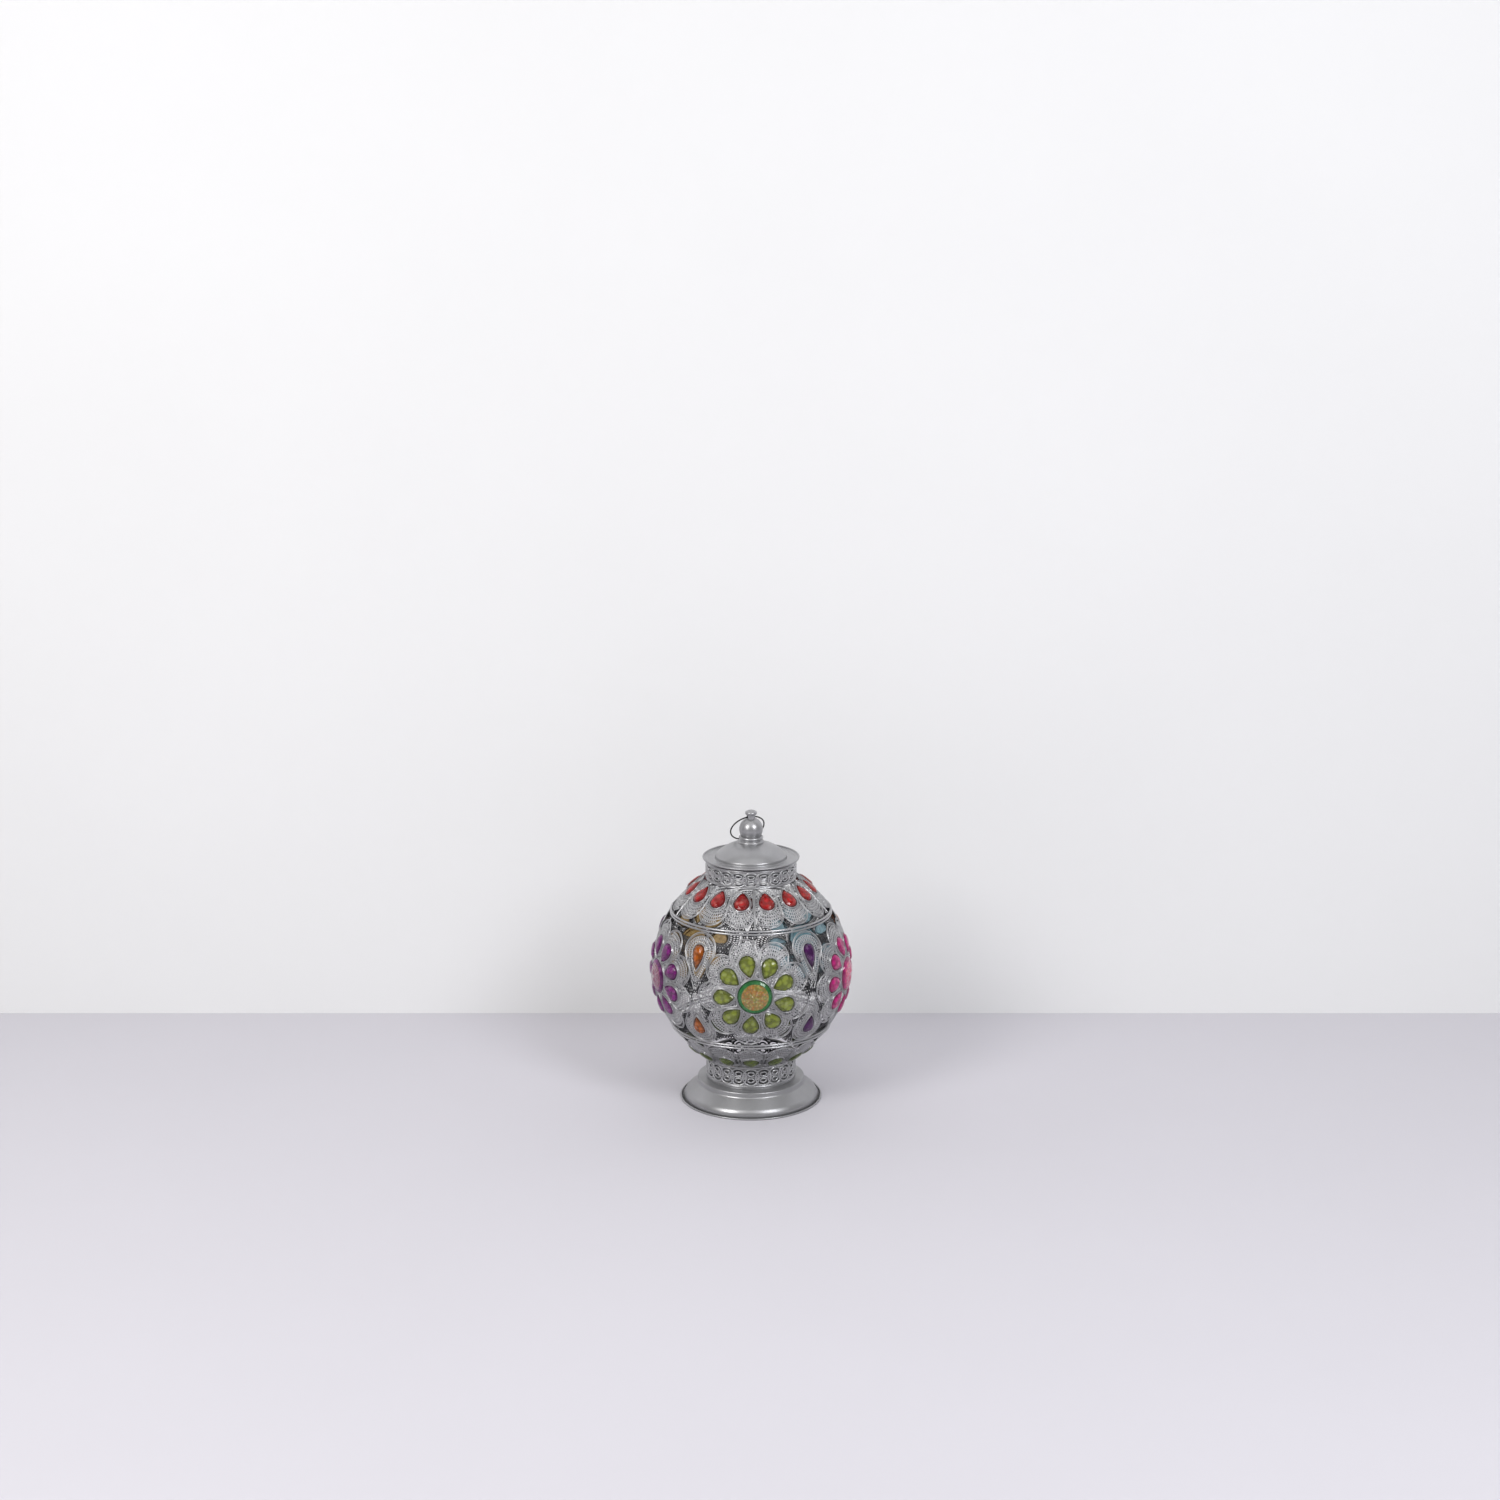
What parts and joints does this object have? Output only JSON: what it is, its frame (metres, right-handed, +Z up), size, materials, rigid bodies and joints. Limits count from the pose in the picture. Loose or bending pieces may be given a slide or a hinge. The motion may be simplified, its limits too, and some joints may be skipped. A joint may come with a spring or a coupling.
{
  "type": "moroccan metal lantern",
  "caption": "Pierced metal globe lantern set with coloured drop stones, on a spun foot, with a lift-off domed lid and a hanging ring.",
  "frame": {"origin": "centre of the foot's underside, on the surface the lantern stands on", "axes": "+Z up the lantern's axis, -Y towards the front flower, +X to its right"},
  "size_m": [0.2045, 0.2035, 0.3],
  "materials": {
    "amber_stone": "glossy moulded cabochon",
    "bare_steel": "plain steel",
    "cyan_stone": "glossy moulded cabochon",
    "dark_steel": "darkened wire",
    "green_stone": "glossy moulded cabochon",
    "olive_stone": "glossy moulded cabochon",
    "orange_stone": "glossy moulded cabochon",
    "pink_stone": "glossy moulded cabochon",
    "plum_stone": "glossy moulded cabochon",
    "purple_stone": "glossy moulded cabochon",
    "red_stone": "glossy moulded cabochon",
    "silver_bezel": "satin silver paint",
    "silver_filigree": "satin silver paint with dark recesses",
    "silver_foot": "satin silver paint",
    "silver_lid": "satin silver paint",
    "silver_wire": "satin silver paint"
  },
  "bodies": {
    "lantern": {"base_plate": "silver_foot", "base_rim": "silver_foot", "base_shell": "silver_foot", "candle_cup": "bare_steel", "cup_rivets": "bare_steel", "bottom_collar": "silver_filigree", "bottom_collar_wires": "silver_wire", "top_collar": "silver_filigree", "top_collar_wires": "silver_wire", "lower_panel_1": "silver_filigree", "lower_panel_2": "silver_filigree", "lower_panel_3": "silver_filigree", "lower_panel_4": "silver_filigree", "lower_panel_5": "silver_filigree", "lower_struts": "silver_wire", "lower_section_wire": "silver_wire", "lower_bezels": "silver_bezel", "lower_stones": "olive_stone", "upper_panel_1": "silver_filigree", "upper_panel_2": "silver_filigree", "upper_panel_3": "silver_filigree", "upper_panel_4": "silver_filigree", "upper_panel_5": "silver_filigree", "upper_struts": "silver_wire", "upper_section_wire": "silver_wire", "upper_bezels": "silver_bezel", "upper_stones": "red_stone", "flower_panel_green": "silver_filigree", "flower_bezels_green": "silver_bezel", "petal_stones_green": "green_stone", "centre_stone_green": "green_stone", "flower_panel_pink": "silver_filigree", "flower_bezels_pink": "silver_bezel", "petal_stones_pink": "pink_stone", "centre_stone_pink": "pink_stone", "flower_panel_cyan": "silver_filigree", "flower_bezels_cyan": "silver_bezel", "petal_stones_cyan": "cyan_stone", "centre_stone_cyan": "cyan_stone", "flower_panel_amber": "silver_filigree", "flower_bezels_amber": "silver_bezel", "petal_stones_amber": "amber_stone", "centre_stone_amber": "amber_stone", "flower_panel_purple": "silver_filigree", "flower_bezels_purple": "silver_bezel", "petal_stones_purple": "purple_stone", "centre_stone_purple": "purple_stone", "accent_leaves": "silver_filigree", "accent_bezels": "silver_bezel", "globe_edge_wires": "silver_wire", "accent_stones_orange": "orange_stone", "accent_stones_plum": "plum_stone", "accent_stones_red": "red_stone"},
    "lid": {"lid_shell": "silver_lid", "lid_lip": "silver_lid", "finial": "silver_lid", "finial_washer": "bare_steel", "finial_nut": "bare_steel"},
    "ring": {"hanging_ring": "dark_steel"}
  },
  "joints": [
    {"name": "lid_lift", "type": "slide", "parent": "lantern", "child": "lid", "axis": [0, 0, 1], "range_m": [0, 0.12]},
    {"name": "ring_swing", "type": "hinge", "parent": "lid", "child": "ring", "pos_m": [0, 0, 0.293], "axis": [0.9317, 0.3633, 0], "range_deg": [0, 288]}
  ]
}
